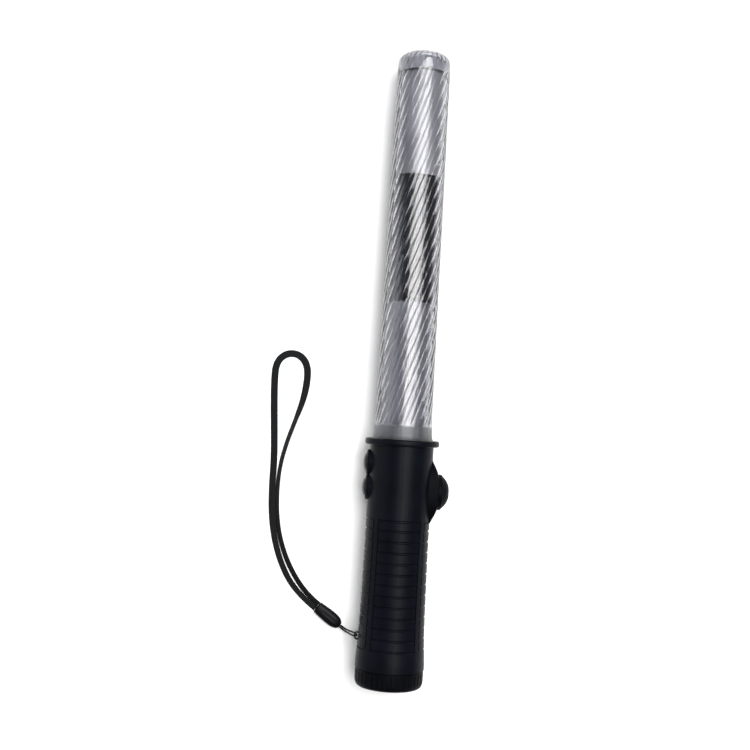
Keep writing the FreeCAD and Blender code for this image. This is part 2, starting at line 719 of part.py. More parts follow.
def make_strap_eyelet():
    """Wire staple that stands out of the left shell."""
    rear, front = eyelet_legs()
    bar = -25.0
    bend = 1.5
    inner = bend * (1 - math.sqrt(0.5))
    path = Part.Wire([
        Part.LineSegment(at(-20.2, rear, 0), at(bar + bend, rear, 0)).toShape(),
        Part.Arc(at(bar + bend, rear, 0), at(bar + inner, rear + inner, 0),
                 at(bar, rear + bend, 0)).toShape(),
        Part.LineSegment(at(bar, rear + bend, 0), at(bar, front - bend, 0)).toShape(),
        Part.Arc(at(bar, front - bend, 0), at(bar + inner, front - inner, 0),
                 at(bar + bend, front, 0)).toShape(),
        Part.LineSegment(at(bar + bend, front, 0), at(-20.2, front, 0)).toShape()])
    section = Part.Wire(Part.makeCircle(0.7, at(-20.2, rear, 0), at(-1, 0, 0)))
    return path.makePipeShell([section], True, False)


def make_strap_sleeve():
    """Moulded pod that joins the tape's ends to the string."""
    pod = Part.makeBox(SLEEVE_LENGTH, SLEEVE_WIDTH, SLEEVE_HEIGHT,
                       at(-SLEEVE_LENGTH / 2, -SLEEVE_WIDTH / 2, FLOOR))
    long_edges = [edge for edge in pod.Edges if edge.BoundBox.XLength > SLEEVE_LENGTH - 0.1]
    pod = pod.makeFillet(2.6, long_edges)
    pod.rotate(ORIGIN, UP, math.degrees(SLEEVE_HEADING))
    pod.translate(at(SLEEVE_CENTRE[0], SLEEVE_CENTRE[1], 0))
    return pod


def make_strap_tape():
    level = FLOOR + TAPE_TUBE_RADIUS
    return cord([at(x, y, level) for x, y in TAPE_ROUTE], TAPE_TUBE_RADIUS, "strap_tape")


def make_strap_string():
    return cord([at(*point) for point in STRING_ROUTE], STRING_RADIUS, "strap_string")


def all_nodes():
    nodes = {
        "lens_tube": make_lens_tube(),
        "diffuser_lower": make_diffuser(170.05, 307.0),
        "diffuser_upper": make_diffuser(307.1, 423.55),
        "band_sleeve": make_band_sleeve(),
        "tip_holder": make_tip_holder(),
        "foot_holder": make_foot_holder(),
        "led_board": make_led_board(),
        "leds": make_leds(),
        "wand_seal": make_wand_seal(),
        "collar_ring": make_collar_ring(),
        "handle_left": make_handle_left(),
        "handle_right": make_handle_right(),
        "shell_screws": make_shell_screws(),
        "magnet_seat": make_magnet_seat(),
        "magnet_cover": make_magnet_cover(),
        "magnet_disc": make_magnet_disc(),
        "pole_plate": make_pole_plate(),
        "magnet_screw": make_magnet_screw(),
        "switch_board": make_switch_board(),
        "board_components": make_board_components(),
        "board_screws": make_board_screws(),
        "tact_switches": make_tact_switches(),
        "wires": make_wires(),
        "battery_tube": make_battery_tube(),
        "battery_rear": make_battery(CELL_START),
        "battery_front": make_battery(CELL_START + CELL_LENGTH),
        "contact_carrier": make_contact_carrier(),
        "positive_contact": make_positive_contact(),
        "return_strip": make_return_strip(),
        "tail_spring": make_tail_spring(),
        "tail_contact": make_tail_contact(),
        "tail_cap": make_tail_cap(),
        "cap_seal": make_cap_seal(),
        "strap_eyelet": make_strap_eyelet(),
        "strap_string": make_strap_string(),
        "strap_sleeve": make_strap_sleeve(),
        "strap_tape": make_strap_tape(),
    }
    for place, station in BUTTON_STATIONS.items():
        nodes["button_" + place] = make_button(station)
        nodes["plunger_" + place] = make_plunger(station)
    return nodes


def main():
    os.makedirs("parts", exist_ok=True)
    for name, shape in all_nodes().items():
        print("%-18s solids %2d valid %s volume %.1f" % (name, len(shape.Solids), shape.isValid(),
                                                       shape.Volume))
        shape.exportStep("parts/%s.step" % name)


main()
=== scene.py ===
"""Looks of the traffic baton light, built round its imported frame.

The frame's own axes: +Y from the tail cap to the tip, +Z up, +X to the magnet boss.
The baton lies on a pale floor with its wrist strap beside it. A station is a distance along +Y.
Sizes are named in millimetres, and the scene itself is in metres.
"""
import bpy
import json
import math
import numpy as np
from mathutils import Matrix, Vector


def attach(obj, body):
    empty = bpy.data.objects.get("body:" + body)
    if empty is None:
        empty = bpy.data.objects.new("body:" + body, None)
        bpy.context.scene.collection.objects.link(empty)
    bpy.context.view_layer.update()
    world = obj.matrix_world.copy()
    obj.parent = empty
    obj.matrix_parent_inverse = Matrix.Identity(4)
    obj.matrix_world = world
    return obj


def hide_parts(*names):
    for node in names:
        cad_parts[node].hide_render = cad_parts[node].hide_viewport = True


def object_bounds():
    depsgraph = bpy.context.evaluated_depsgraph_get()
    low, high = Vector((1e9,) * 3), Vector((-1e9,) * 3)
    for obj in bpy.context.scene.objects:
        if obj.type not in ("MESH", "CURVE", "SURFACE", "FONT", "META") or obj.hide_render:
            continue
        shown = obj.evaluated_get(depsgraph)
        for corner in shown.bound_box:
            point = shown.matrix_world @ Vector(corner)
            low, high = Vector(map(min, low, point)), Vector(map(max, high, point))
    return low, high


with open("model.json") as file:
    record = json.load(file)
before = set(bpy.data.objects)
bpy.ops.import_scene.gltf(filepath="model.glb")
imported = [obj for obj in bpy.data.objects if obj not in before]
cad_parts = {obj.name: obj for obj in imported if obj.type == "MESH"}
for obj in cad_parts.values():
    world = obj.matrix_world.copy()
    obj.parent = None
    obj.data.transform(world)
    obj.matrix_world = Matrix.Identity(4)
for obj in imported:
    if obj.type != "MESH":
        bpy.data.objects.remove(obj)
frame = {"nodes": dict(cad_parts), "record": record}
cad_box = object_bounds()
nodes = frame["nodes"]
scene = bpy.context.scene

MM = 0.001
FLOOR = cad_box[0].z

# ---- camera: above the lying baton, almost straight down ----
CAMERA_PLACE = Vector((-60.0, 185.0, 781.45)) * MM
CAMERA_AIM = Vector((-21.69, 212.21, 0.0)) * MM
CAMERA_ROLL = math.radians(3.41)
CAMERA_LENS, CAMERA_SENSOR_WIDTH = 54.24, 36.0

# ---- lights round the middle of the baton, metres and watts ----
# name, tilt towards +X and tilt towards +Y in degrees, distance, (width, length), power, colour
LIGHTS_AIM = Vector((0.0, 0.22, 0.0))
LIGHTS = [("window", 12, 9, 2.2, (1.60, 1.60), 85.0, (1.0, 0.99, 0.97)),
          ("sky_panel", -70, 4, 2.4, (1.0, 1.8), 12.0, (0.93, 0.96, 1.0)),
          ("far_panel", 6, 62, 2.6, (1.6, 0.8), 26.0, (0.97, 0.98, 1.0))]
ROOM_COLOUR, ROOM_STRENGTH = (0.93, 0.95, 1.0, 1), 0.22
FLOOR_REACH = 6.0
FLOOR_TINTS = [(0.3, (0.90, 0.90, 0.90)), (0.7, (0.93, 0.93, 0.93))]

# ---- wand: stations and radii of the clear moulding, mm ----
WAND_ROOT, WAND_FOOT, SMOOTH_COLLAR_END = 161.0, 168.9, 178.5
TIP_BAND_START, DOME_BASE, WAND_TOP = 424.5, 430.5, 440.0
TIP_BAND_EDGE, TIP_BAND_LENGTH, TIP_BAND_RADII = 0.05, 3.0, (18.56, 18.53)
ROOT_LIP_RADIUS, ROOT_LIP_LENGTH, ROOT_NECK_RADIUS = 20.2, 2.0, 19.25
COLLAR_RADIUS, FOOT_FLARE, FLARE_LENGTH = 19.98, 1.22, 2.2
WAND_BASE_RADIUS, WAND_TIP_RADIUS = 19.9, 18.5
BORE_ROOT_RADIUS, BORE_TIP_RADIUS, BORE_DOME_BASE, BORE_TOP = 17.5, 16.3, 428.5, 438.0
FLUTE_COUNT, FLUTE_LEAD, FLUTE_DEPTH, FLUTE_RUN_OUT = 25, 285.0, 0.22, 3.0
VALLEY_SHARE, VALLEY_DEPTH = 0.15, 0.08
DOME_RIB_DEPTH = 0.35
DOME_POWER = 2.4
COLUMNS_PER_FLUTE = 20
COLLAR_STEPS, FLUTED_STEPS, DOME_STEPS = 16, 130, 18
BORE_DOME_STEPS, BORE_STEPS = 13, 90

# ---- edge rounding of the moulded parts that show, mm ----
SOFT_EDGES = {"handle_left": 0.28, "handle_right": 0.28, "collar_ring": 0.5, "magnet_seat": 0.6,
              "magnet_cover": 0.4, "tail_cap": 0.25}
SOFT_EDGE_ANGLE = math.radians(26)

# ---- wrist strap, mm ----
TAPE_WIDTH, TAPE_THICKNESS, TAPE_FLOOR_GAP = 5.0, 1.0, 0.05
TAPE_STEP, TAPE_RING_POINTS, TAPE_WARP_RIBS = 0.45, 36, 9
STRING_DIAMETER, STRAND_LAY = 1.2, 2.4
STRING_STEP, STRING_RING_POINTS = 0.2, 24
SLEEVE_LENGTH, SLEEVE_WIDTH, SLEEVE_HEIGHT = 21.2, 9.6, 6.4
SLEEVE_CENTRE = (-43.25, 40.85)
SLEEVE_HEADING = math.radians(143.8)
SLEEVE_RINGS, SLEEVE_RING_POINTS = 61, 48
TAPE_LEVEL = -24.0

# Plan points of the tape: out of the sleeve, round the loop and back.
TAPE_ROUTE = [(-52.9, 45.6), (-60.6, 51.3), (-71.5, 62.5), (-79.2, 76.5), (-84.6, 92.0),
              (-87.8, 109.5), (-88.7, 128.5), (-88.4, 149.0), (-89.5, 168.5), (-90.8, 187.0),
              (-91.7, 204.5), (-91.3, 217.6), (-85.0, 224.6), (-75.6, 224.9), (-69.0, 218.0),
              (-68.2, 206.5), (-70.4, 192.0), (-75.3, 177.0), (-80.3, 161.5), (-83.9, 145.5),
              (-85.0, 127.5), (-84.0, 109.0), (-80.7, 93.0), (-75.1, 78.5), (-67.3, 65.0),
              (-57.5, 53.6), (-50.7, 48.6)]

# Points of the string: sleeve, up the outside of the eyelet, over it and back down.
STRING_ROUTE = [(-35.2, 33.9, -22.4), (-32.4, 31.9, -22.4), (-30.2, 30.9, -20.4),
                (-29.0, 31.2, -16.5), (-28.3, 31.5, -11.5), (-27.4, 31.9, -6.5),
                (-26.6, 32.4, -2.2), (-26.6, 32.8, 1.7), (-23.6, 32.8, 1.7),
                (-23.6, 33.1, -1.9), (-24.8, 33.4, -5.2), (-27.0, 33.5, -9.3),
                (-28.3, 32.8, -14.3), (-28.9, 32.4, -18.6), (-31.1, 32.6, -22.2),
                (-34.5, 34.95, -22.4)]

# How far the tape leans from flat, in degrees, at shares of its length.
TAPE_LEAN = [(0.0, 38), (0.16, 34), (0.28, 20), (0.42, 6), (0.52, 0), (0.58, -18),
             (0.64, -56), (0.74, -60), (0.88, -48), (1.0, -42)]


def smoothstep(value):
    """Soft step: 0 up to a value of 0, 1 from a value of 1, and level at both."""
    value = min(max(value, 0.0), 1.0)
    return value * value * (3 - 2 * value)


def signed_power(value, power):
    """A power of the value's size, with the value's sign."""
    return math.copysign(abs(value) ** power, value)


# ---- mesh helpers ----

def make_object(name, data):
    """New object of the scene that shows the data."""
    item = bpy.data.objects.new(name, data)
    scene.collection.objects.link(item)
    return item


def make_mesh_object(name, points, faces, sharp_angle):
    """Mesh in mm coordinates, scaled to metres, smooth except over sharp_angle degrees."""
    mesh = bpy.data.meshes.new(name)
    mesh.from_pydata([Vector(point) * MM for point in points], [], faces)
    mesh.update()
    mesh.polygons.foreach_set("use_smooth", [True] * len(mesh.polygons))
    mesh.set_sharp_from_angle(angle=math.radians(sharp_angle))
    return make_object(name, mesh)


def band_faces(first, second, count):
    """Quads between two closed rings of count points that start at the two indices."""
    return [(first + k, first + (k + 1) % count, second + (k + 1) % count, second + k)
            for k in range(count)]


def stacked_faces(ring_total, count):
    """Quads of a tube whose rings of count points follow one another."""
    faces = []
    for ring in range(ring_total - 1):
        faces += band_faces(ring * count, (ring + 1) * count, count)
    return faces


def end_cap(first, count, centre, flipped):
    """Fan of triangles between a ring and the point at its centre."""
    faces = [(first + k, first + (k + 1) % count, centre) for k in range(count)]
    return [face[::-1] for face in faces] if flipped else faces


# ---- cords ----

def route_curve(name, points):
    """Open NURBS curve that follows the route's control points."""
    curve = bpy.data.curves.new(name, "CURVE")
    curve.dimensions = "3D"
    curve.resolution_u = 20
    spline = curve.splines.new("NURBS")
    spline.points.add(len(points) - 1)
    for control, point in zip(spline.points, points):
        control.co = (*(Vector(point) * MM), 1)
    spline.order_u = 3
    spline.use_endpoint_u = True
    return curve


def read_route(points):
    """Points along the route's NURBS curve, in metres."""
    item = make_object("route", route_curve("route", points))
    mesh = bpy.data.meshes.new_from_object(item)
    line = np.array([vertex.co for vertex in mesh.vertices])
    bpy.data.objects.remove(item)
    return line


def even_points(line, step):
    """The line resampled at an even step, with the share of its length at each point."""
    lengths = np.linalg.norm(np.diff(line, axis=0), axis=1)
    along = np.concatenate([[0.0], np.cumsum(lengths)])
    count = max(2, int(along[-1] / step))
    wanted = np.linspace(0, along[-1], count + 1)
    points = [Vector([np.interp(s, along, line[:, axis]) for axis in range(3)]) for s in wanted]
    return points, [s / along[-1] for s in wanted]


def tangents(points):
    """Direction of the line at each of its points."""
    ends = [points[0]] + list(points) + [points[-1]]
    return [(after - before).normalized() for before, after in zip(ends, ends[2:])]


def sweep(name, points, sides, lifts, section, sharp_angle):
    """Closed tube: section(row) gives (sideways, lift) in metres for each point of a ring."""
    count = len(section(0))
    vertices = []
    for row, point in enumerate(points):
        for sideways, lift in section(row):
            vertices.append((point + sides[row] * sideways + lifts[row] * lift) / MM)
    faces = stacked_faces(len(points), count)
    vertices += [points[0] / MM, points[-1] / MM]
    last = (len(points) - 1) * count
    faces += end_cap(0, count, len(vertices) - 2, True)
    faces += end_cap(last, count, len(vertices) - 1, False)
    return make_mesh_object(name, vertices, faces, sharp_angle)


def lean_at(share):
    """Lean of the tape from flat, in radians, at a share of its length."""
    shares, degrees = zip(*TAPE_LEAN)
    return math.radians(float(np.interp(share, shares, degrees)))


def make_tape():
    """Flat woven tape that leans along its loop, and the plain line it follows."""
    line = read_route([(x, y, TAPE_LEVEL) for x, y in TAPE_ROUTE])
    points, shares = even_points(line, TAPE_STEP * MM)
    up = Vector((0, 0, 1))
    flat_sides = [tangent.cross(up).normalized() for tangent in tangents(points)]
    half_width, half_thick = TAPE_WIDTH / 2 * MM, TAPE_THICKNESS / 2 * MM
    placed, sides, lifts = [], [], []
    for point, flat, share in zip(points, flat_sides, shares):
        lean = lean_at(share)
        sides.append(flat * math.cos(lean) + up * math.sin(lean))
        lifts.append(up * math.cos(lean) - flat * math.sin(lean))
        level = FLOOR + half_width * abs(math.sin(lean)) + half_thick * math.cos(lean)
        placed.append(Vector((point.x, point.y, level + TAPE_FLOOR_GAP * MM)))

    def section(row):
        """Rounded strip: thicker selvedges, and ribs that alternate as woven picks do."""
        ring = []
        ground, selvedge_gain, rib_gain = 0.86, 0.16, 0.10
        for step in range(TAPE_RING_POINTS):
            angle = 2 * math.pi * step / TAPE_RING_POINTS
            across = signed_power(math.cos(angle), 0.6)
            thick = signed_power(math.sin(angle), 0.45)
            selvedge = 1.0 + selvedge_gain * smoothstep((abs(across) - 0.72) / 0.1)
            pick = math.cos(math.pi * row) * math.cos(TAPE_WARP_RIBS * math.pi * across)
            ribs_fade = smoothstep((abs(across) - 0.8) / 0.15)
            relief = 1.0 + rib_gain * pick * (1 - ribs_fade)
            ring.append((half_width * across, half_thick * ground * thick * selvedge * relief))
        return ring

    return sweep("woven_tape", placed, sides, lifts, section, sharp_angle=60), line


def transported_frames(points):
    """Sides and lifts that turn as little as possible along the line."""
    ways = tangents(points)
    side = ways[0].orthogonal().normalized()
    sides, lifts = [], []
    for way in ways:
        side = (side - way * side.dot(way)).normalized()
        sides.append(side.copy())
        lifts.append(way.cross(side))
    return sides, lifts


def make_string():
    """Braided string, round with two crossing sets of strands, and the line it follows."""
    line = read_route(STRING_ROUTE)
    points, _ = even_points(line, STRING_STEP * MM)
    sides, lifts = transported_frames(points)
    radius = STRING_DIAMETER / 2 * MM
    core_share, strand_share = 0.86, 0.09

    def section(row):
        ring = []
        turn = row * STRING_STEP / STRAND_LAY * 2 * math.pi
        for step in range(STRING_RING_POINTS):
            angle = 2 * math.pi * step / STRING_RING_POINTS
            strands = abs(math.cos(2 * (angle + turn))) + abs(math.cos(2 * (angle - turn)))
            reach = radius * (core_share + strand_share * strands)
            ring.append((reach * math.cos(angle), reach * math.sin(angle)))
        return ring

    return sweep("braided_string", points, sides, lifts, section, sharp_angle=75), line


def sleeve_girth(along):
    """Share of the pod's full section at -1 (the string's end) to 1 (the tape's end)."""
    nose = (1 - abs(min(along, 0)) ** 3.2) ** 0.45
    mouth = (1 - max(along, 0) ** 40) ** 0.3
    shoulder = 1 - 0.12 * smoothstep(along)
    return nose * mouth * shoulder


def sleeve_groove(along, across):
    """Depth of the groove down the pod's top, with a low ridge beside it."""
    if not -0.84 < along < 0.5:
        return 0.0
    spread, groove_place, ridge_place = 0.06, 0.04, 0.18
    groove = 0.14 * math.exp(-((across - groove_place) / spread) ** 2)
    ridge = 0.06 * math.exp(-((across - ridge_place) / spread) ** 2)
    return groove - ridge


def make_sleeve():
    """Moulded pod over the tape's ends: blunt at the tape, rounded at the string."""
    heading = Vector((math.cos(SLEEVE_HEADING), math.sin(SLEEVE_HEADING), 0))
    up = Vector((0, 0, 1))
    side = up.cross(heading)
    middle = Vector((SLEEVE_CENTRE[0], SLEEVE_CENTRE[1], FLOOR / MM + SLEEVE_HEIGHT / 2))
    rings, count = SLEEVE_RINGS, SLEEVE_RING_POINTS
    squareness = 0.75
    vertices = []
    for ring in range(rings):
        along = -1 + 2 * ring / (rings - 1)
        girth = sleeve_girth(along)
        for step in range(count):
            angle = 2 * math.pi * step / count
            across = signed_power(math.cos(angle), squareness)
            lift = signed_power(math.sin(angle), squareness)
            groove = sleeve_groove(along, across) if lift > 0 else 0.0
            vertices.append(middle + heading * (along * SLEEVE_LENGTH / 2)
                            + side * (across * girth * SLEEVE_WIDTH / 2)
                            + up * (lift * (girth - groove) * SLEEVE_HEIGHT / 2))
    faces = stacked_faces(rings, count)
    vertices += [middle - heading * SLEEVE_LENGTH / 2, middle + heading * SLEEVE_LENGTH / 2]
    faces += end_cap(0, count, len(vertices) - 2, True)
    faces += end_cap((rings - 1) * count, count, len(vertices) - 1, False)
    return make_mesh_object("sleeve_pod", vertices, faces, sharp_angle=55)


# ---- the wand ----

def wand_radius(station):
    """Outer radius of the tapered, fluted stretch."""
    share = (station - WAND_FOOT) / (DOME_BASE - WAND_FOOT)
    return WAND_BASE_RADIUS + (WAND_TIP_RADIUS - WAND_BASE_RADIUS) * share


def superellipse(share):
    """(radius, height) shares of the dome's outline at a share of its arc."""
    angle = share * math.pi / 2
    return math.cos(angle) ** (2 / DOME_POWER), math.sin(angle) ** (2 / DOME_POWER)


def wand_rings():
    """(station, radius, flute depth) of every ring up the outside, from the root to the top of the
    dome.
    """
    lip_end = WAND_ROOT + ROOT_LIP_LENGTH
    rings = [(WAND_ROOT, ROOT_LIP_RADIUS, 0), (lip_end, ROOT_LIP_RADIUS, 0),
             (lip_end, ROOT_NECK_RADIUS, 0), (WAND_FOOT, ROOT_NECK_RADIUS, 0)]
    for step in range(COLLAR_STEPS + 1):
        station = WAND_FOOT + (SMOOTH_COLLAR_END - WAND_FOOT) * step / COLLAR_STEPS
        flare = FOOT_FLARE * math.exp(-(station - WAND_FOOT) / FLARE_LENGTH)
        rings.append((station, COLLAR_RADIUS + flare, 0))
    for step in range(FLUTED_STEPS + 1):
        station = SMOOTH_COLLAR_END + (TIP_BAND_START - SMOOTH_COLLAR_END) * step / FLUTED_STEPS
        rise = smoothstep((station - SMOOTH_COLLAR_END) / FLUTE_RUN_OUT)
        radius = wand_radius(station)
        radius += (COLLAR_RADIUS - radius) * (1 - rise)
        rings.append((station, radius, FLUTE_DEPTH * rise))
    rings += [(TIP_BAND_START + TIP_BAND_EDGE, TIP_BAND_RADII[0], 0),
              (TIP_BAND_START + TIP_BAND_LENGTH, TIP_BAND_RADII[1], 0)]
    for step in range(DOME_STEPS):
        radius_share, height_share = superellipse(step / DOME_STEPS)
        rings.append((DOME_BASE + (WAND_TOP - DOME_BASE) * height_share,
                      WAND_TIP_RADIUS * radius_share, 0))
    return rings


def bore_rings():
    """(station, radius, rib depth) of every ring, from the dome's inside to the root."""
    rings = []
    for step in range(1, BORE_DOME_STEPS):
        radius_share, height_share = superellipse(1 - step / BORE_DOME_STEPS)
        rings.append((BORE_DOME_BASE + (BORE_TOP - BORE_DOME_BASE) * height_share,
                      BORE_TIP_RADIUS * radius_share, DOME_RIB_DEPTH * radius_share))
    for step in range(BORE_STEPS + 1):
        share = step / BORE_STEPS
        rings.append((BORE_DOME_BASE + (WAND_ROOT - BORE_DOME_BASE) * share,
                      BORE_TIP_RADIUS + (BORE_ROOT_RADIUS - BORE_TIP_RADIUS) * share, 0))
    return rings


def ring_points(station, radius, depth):
    """One ring: shallow rounded flutes, depth deep, that meet in narrow valleys."""
    count = FLUTE_COUNT * COLUMNS_PER_FLUTE
    points = []
    for column in range(count):
        share = (column % COLUMNS_PER_FLUTE) / COLUMNS_PER_FLUTE
        angle = 2 * math.pi * (column / count + station / FLUTE_LEAD)
        valley = max(0.0, 1 - min(share, 1 - share) / VALLEY_SHARE) ** 2
        reach = radius - depth * ((2 * share - 1) ** 2 + VALLEY_DEPTH / FLUTE_DEPTH * valley)
        points.append((reach * math.sin(angle), station, reach * math.cos(angle)))
    return points


def make_wand():
    """Clear moulding as one closed skin: helical flutes outside, a tapered bore inside."""
    count = FLUTE_COUNT * COLUMNS_PER_FLUTE
    outside, inside = wand_rings(), bore_rings()
    vertices = []
    for station, radius, depth in outside + inside:
        vertices += ring_points(station, radius, depth)
    faces = stacked_faces(len(outside), count)
    offset = len(outside) * count
    for ring in range(len(inside) - 1):
        faces += band_faces(offset + ring * count, offset + (ring + 1) * count, count)
    faces += band_faces(offset + (len(inside) - 1) * count, 0, count)
    vertices += [(0, WAND_TOP, 0), (0, BORE_TOP, 0)]
    faces += end_cap((len(outside) - 1) * count, count, len(vertices) - 2, False)
    faces += end_cap(offset, count, len(vertices) - 1, True)
    return make_mesh_object("fluted_wand", vertices, faces, sharp_angle=35)


# ---- materials ----

class Nodes:
    """Short way to add and join shader nodes of one material."""

    def __init__(self, name):
        self.material = bpy.data.materials.new(name)
        self.material.use_nodes = True
        self.tree = self.material.node_tree
        self.shader = self.tree.nodes["Principled BSDF"]
        self.place = self.add("ShaderNodeTexCoord").outputs["Object"]

    def add(self, kind, **inputs):
        """New node, with its inputs set to plain values or joined to other nodes."""
        node = self.tree.nodes.new(kind)
        for key, value in inputs.items():
            socket = node.inputs[key.replace("_", " ")]
            if isinstance(value, bpy.types.NodeSocket):
                self.tree.links.new(value, socket)
            else:
                socket.default_value = value
        return node

    def join(self, output, name):
        """Joins a node's output to the named input of the material's shader."""
        self.tree.links.new(output, self.shader.inputs[name])

    def scaled(self, scale):
        """Object coordinates stretched by a vector of scales."""
        node = self.add("ShaderNodeMapping", Vector=self.place)
        node.inputs["Scale"].default_value = scale
        return node.outputs["Vector"]

    def noise(self, scale, detail=3.0, vector=None):
        """Cloudy value round 0.5, with scale counted in waves a metre."""
        node = self.add("ShaderNodeTexNoise", Scale=scale, Detail=detail)
        self.tree.links.new(vector or self.place, node.inputs["Vector"])
        return node.outputs["Fac"]

    def ramp(self, value, stops):
        """Colour ramp with (position, colour) stops."""
        node = self.add("ShaderNodeValToRGB", Fac=value)
        elements = node.color_ramp.elements
        while len(elements) < len(stops):
            elements.new(0.5)
        for element, (position, colour) in zip(elements, stops):
            element.position = position
            element.color = (*colour, 1) if len(colour) == 3 else colour
        return node.outputs["Color"]

    def between(self, value, low, high):
        """A 0..1 value mapped to a range."""
        node = self.add("ShaderNodeMapRange", Value=value)
        node.inputs["To Min"].default_value = low
        node.inputs["To Max"].default_value = high
        return node.outputs["Result"]

    def past_station(self, start, end):
        """0 at the first station along the baton and 1 at the second, in mm."""
        parts = self.add("ShaderNodeSeparateXYZ", Vector=self.place)
        node = self.add("ShaderNodeMapRange", Value=parts.outputs["Y"])
        node.inputs["From Min"].default_value = start * MM
        node.inputs["From Max"].default_value = end * MM
        return node.outputs["Result"]

    def sum_of(self, first, first_share, second, second_share):
        """Two values added together, each times its share."""
        scaled = self.add("ShaderNodeMath")
        scaled.operation = "MULTIPLY"
        self.tree.links.new(first, scaled.inputs[0])
        scaled.inputs[1].default_value = first_share
        total = self.add("ShaderNodeMath")
        total.operation = "MULTIPLY_ADD"
        self.tree.links.new(second, total.inputs[0])
        total.inputs[1].default_value = second_share
        self.tree.links.new(scaled.outputs["Value"], total.inputs[2])
        return total.outputs["Value"]

    def bump(self, height, strength, distance):
        """Relief of the skin, with distance as its full height in metres."""
        node = self.add("ShaderNodeBump", Height=height, Strength=strength, Distance=distance)
        self.join(node.outputs["Normal"], "Normal")

    def set(self, **values):
        """Plain values of the shader's inputs."""
        for key, value in values.items():
            self.shader.inputs[key.replace("_", " ")].default_value = value


def shade(colour, share):
    """The colour made darker or lighter by a share."""
    return tuple(min(1.0, channel * share) for channel in colour)


def moulded(name, colour, roughness, grain=2600.0, relief=0.05, spread=0.25, **settings):
    """Moulded plastic or rubber: slightly uneven colour and gloss over a fine skin texture."""
    look = Nodes(name)
    cloud = look.noise(scale=55.0, detail=4.0)
    tint = look.ramp(cloud, [(0.3, shade(colour, 1 - spread)), (0.7, shade(colour, 1 + spread))])
    look.join(tint, "Base Color")
    smudge = look.noise(scale=140.0, detail=5.0)
    look.join(look.between(smudge, roughness * 0.82, roughness * 1.2), "Roughness")
    look.bump(look.noise(grain, detail=2.0), strength=relief, distance=0.0002)
    look.set(**settings)
    return look.material


def metal(name, colour, roughness, brush=(400, 4000, 400)):
    """Plated or brushed metal with fine lines and faint staining."""
    look = Nodes(name)
    lines = look.noise(1.0, 4.0, look.scaled(brush))
    stain = look.noise(scale=300.0, detail=3.0)
    tint = look.ramp(stain, [(0.3, shade(colour, 0.8)), (0.7, shade(colour, 1.1))])
    look.join(tint, "Base Color")
    look.join(look.between(lines, roughness * 0.7, roughness * 1.4), "Roughness")
    look.bump(lines, strength=0.12, distance=0.0001)
    look.set(Metallic=1.0)
    return look.material


def clear_plastic():
    """Polycarbonate of the wand: grey-lavender, darker in the dome, with a satin smooth foot."""
    look = Nodes("clear_polycarbonate")
    foot = look.past_station(SMOOTH_COLLAR_END + 0.8, SMOOTH_COLLAR_END - 1.6)
    dome = look.past_station(TIP_BAND_START - 0.4, TIP_BAND_START + 0.4)
    cloud_share, foot_share, dome_share, foot_roughness = 0.4, 0.6, 0.44, 0.38
    ends = look.sum_of(foot, foot_share, dome, dome_share)
    cloud = look.sum_of(look.noise(scale=30.0, detail=2.0), cloud_share, ends, 1.0)
    fluted_tints = [(0.12, (0.70, 0.70, 0.73)), (0.28, (0.78, 0.78, 0.81))]
    foot_tints = [(0.72, (0.50, 0.51, 0.54)), (0.88, (0.58, 0.59, 0.62))]
    look.join(look.ramp(cloud, fluted_tints + foot_tints), "Base Color")
    ripple = look.between(look.noise(scale=420.0, detail=3.0), 0.05, 0.14)
    look.join(look.sum_of(ripple, 1.0, foot, foot_roughness), "Roughness")
    waves = look.noise(1.0, 3.0, look.scaled((380, 90, 380)))
    look.bump(waves, strength=0.42, distance=0.0006)
    look.set(Transmission_Weight=1.0, IOR=1.56)
    smoke = look.add("ShaderNodeVolumeAbsorption", Density=130.0, Color=(0.40, 0.41, 0.45, 1))
    end = look.tree.nodes["Material Output"]
    look.tree.links.new(smoke.outputs["Volume"], end.inputs["Volume"])
    return look.material


def translucent_sleeve(name, low, high, transmission, roughness):
    """Milky sleeve round the lamps, cloudy along its length."""
    look = Nodes(name)
    cloud = look.noise(1.0, 5.0, look.scaled((70, 25, 70)))
    look.join(look.ramp(cloud, [(0.32, low), (0.68, high)]), "Base Color")
    gloss = look.noise(scale=500.0, detail=3.0)
    look.join(look.between(gloss, roughness * 0.8, roughness * 1.2), "Roughness")
    look.bump(look.noise(scale=900.0, detail=2.0), strength=0.08, distance=0.0003)
    look.set(Transmission_Weight=transmission, IOR=1.45)
    return look.material


def woven(name, colour, scale):
    """Dark textile: streaky fibres with a faint sheen and paler high spots."""
    look = Nodes(name)
    fibre = look.noise(1.0, 5.0, look.scaled((scale, scale * 0.5, scale)))
    tint = look.ramp(fibre, [(0.35, shade(colour, 0.6)), (0.75, shade(colour, 1.7))])
    look.join(tint, "Base Color")
    look.join(look.between(fibre, 0.7, 0.95), "Roughness")
    look.bump(fibre, strength=0.5, distance=0.0003)
    look.set(Sheen_Weight=0.08, Sheen_Roughness=0.4, Specular_IOR_Level=0.12)
    return look.material


def board(name, colour, trace):
    """Printed circuit board: solder mask over a grid of fine tracks."""
    look = Nodes(name)
    brick = look.add("ShaderNodeTexBrick", Vector=look.place, Scale=420.0, Mortar_Size=0.03)
    brick.inputs["Color1"].default_value = (*colour, 1)
    brick.inputs["Color2"].default_value = (*shade(colour, 0.92), 1)
    brick.inputs["Mortar"].default_value = (*trace, 1)
    look.join(brick.outputs["Color"], "Base Color")
    look.join(look.between(look.noise(scale=600.0), 0.25, 0.4), "Roughness")
    look.bump(brick.outputs["Fac"], strength=0.1, distance=0.0001)
    return look.material


